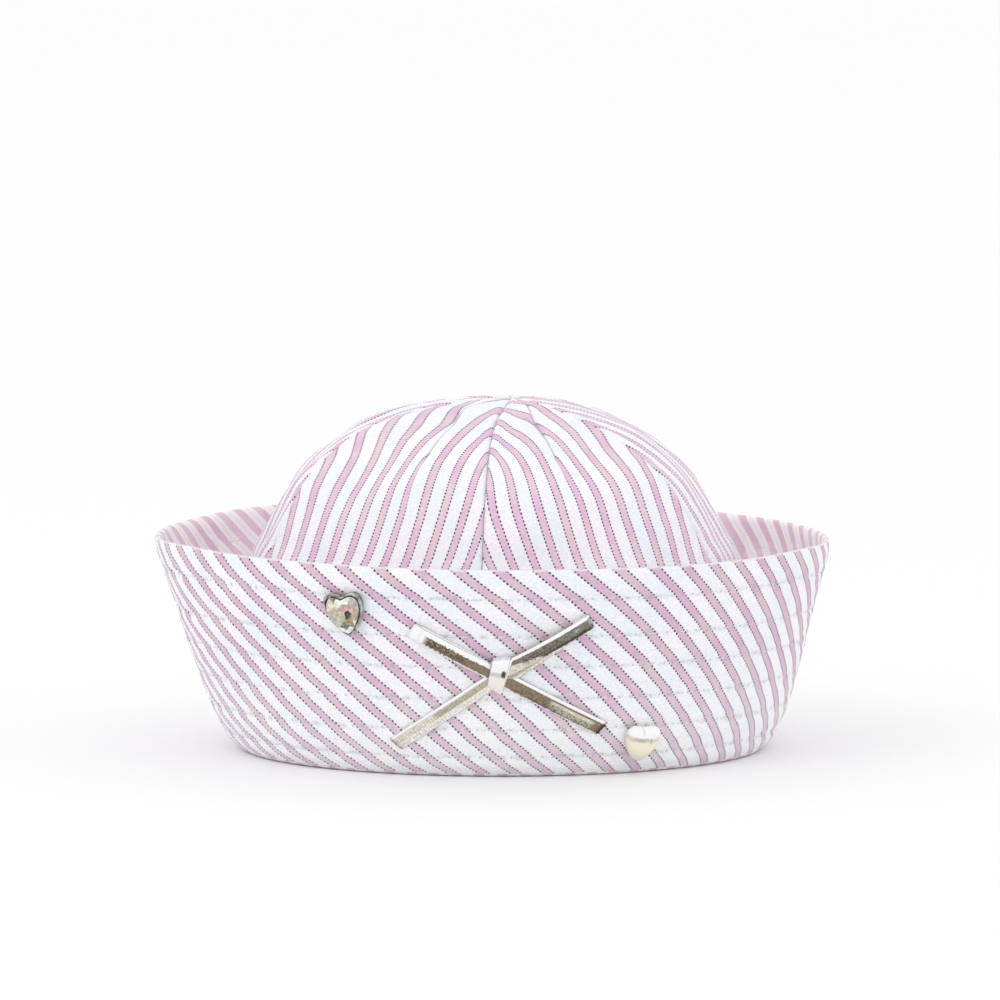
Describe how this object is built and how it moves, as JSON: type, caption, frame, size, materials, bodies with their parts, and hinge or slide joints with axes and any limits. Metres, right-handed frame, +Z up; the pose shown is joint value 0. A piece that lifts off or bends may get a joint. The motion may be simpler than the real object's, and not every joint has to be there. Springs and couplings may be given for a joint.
{
  "type": "sailor cap",
  "caption": "Striped cotton sailor cap: a domed crown of sewn gores in a tall turned-up cuff, with a silver strip bow and two heart studs.",
  "frame": {"origin": "centre of the cap's box in plan, on the surface that the foot rests on", "axes": "+Z up through the crown, -Y the front with the bow, +X to the right of the picture"},
  "size_m": [0.2396, 0.2396, 0.1245],
  "materials": {
    "striped_cotton": "white cotton with pink stripes edged by dark dashes, matt",
    "silver_strip": "silver foil leather strip, bright and lightly creased",
    "setting_metal": "bright grey metal",
    "crystal": "foil-backed cut stone, clear to smoky",
    "pearl": "cream pearl coat"
  },
  "bodies": {
    "root": {"cuff": "striped_cotton", "crown_gore_front_right": "striped_cotton", "crown_gore_side_right": "striped_cotton", "crown_gore_back_right": "striped_cotton", "crown_gore_back_left": "striped_cotton", "crown_gore_side_left": "striped_cotton", "crown_gore_front_left": "striped_cotton", "bow_loop_left": "silver_strip", "bow_loop_right": "silver_strip", "bow_tail_left": "silver_strip", "bow_tail_right": "silver_strip", "bow_knot": "silver_strip", "crystal_setting": "setting_metal", "crystal_heart": "crystal", "pearl_heart": "pearl"}
  },
  "joints": []
}
